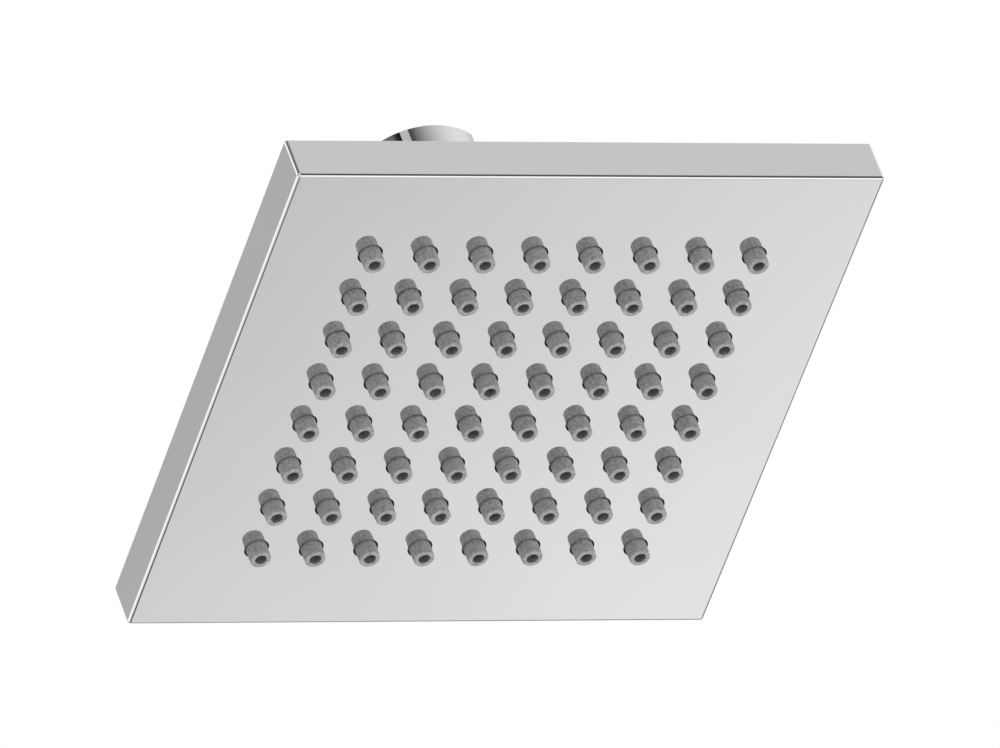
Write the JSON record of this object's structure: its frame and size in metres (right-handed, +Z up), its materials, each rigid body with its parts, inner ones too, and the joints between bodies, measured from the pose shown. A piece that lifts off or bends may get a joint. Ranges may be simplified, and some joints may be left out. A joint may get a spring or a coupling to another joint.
{
  "type": "shower head",
  "caption": "Square rain shower head with a flat chromed face of silicone nozzles, hung on a ball joint below a round half-inch inlet connector.",
  "frame": {"origin": "centre of the inlet mouth, on the connector's top rim", "axes": "+Z up along the inlet axis, out of the mouth; the face looks down along -Z; X and Y are square to the head's side walls"},
  "size_m": [0.1524, 0.1524, 0.0816],
  "materials": {
    "chromed_brass": "polished chrome plate",
    "chromed_plastic": "polished chrome plate",
    "brass": "turned",
    "steel_screen": "plain",
    "steel_screw": "plain",
    "grey_silicone": "soft matte",
    "black_rubber": "matte",
    "white_acetal": "moulded",
    "grey_plastic": "moulded",
    "blue_plastic": "moulded"
  },
  "bodies": {
    "inlet": {"inlet_connector": "chromed_brass", "inlet_washer": "black_rubber", "filter_screen": "steel_screen", "flow_regulator": "blue_plastic", "regulator_ring": "black_rubber", "ball_seal": "black_rubber", "retaining_nut": "chromed_brass"},
    "seat": {"seat_ring": "brass"},
    "liner": {"friction_liner": "white_acetal"},
    "head": {"ball_stud": "chromed_brass", "stud_oring": "black_rubber", "neck_insert": "brass", "neck_gasket": "black_rubber", "back_cover": "chromed_plastic", "distributor": "white_acetal", "chamber_gasket": "black_rubber", "pressure_plate": "grey_plastic", "plate_screws": "steel_screw", "nozzle_mat": "grey_silicone", "face_shell": "chromed_plastic"}
  },
  "joints": [
    {"name": "swivel_spin", "type": "hinge", "parent": "inlet", "child": "seat", "pos_m": [0, 0, -0.032], "axis": [0, 0, 1], "continuous": true},
    {"name": "tilt_x", "type": "hinge", "parent": "seat", "child": "liner", "pos_m": [0, 0, -0.032], "axis": [1, 0, 0], "range_deg": [-12, 12]},
    {"name": "tilt_y", "type": "hinge", "parent": "liner", "child": "head", "pos_m": [0, 0, -0.032], "axis": [0, 1, 0], "range_deg": [-12, 12]}
  ]
}
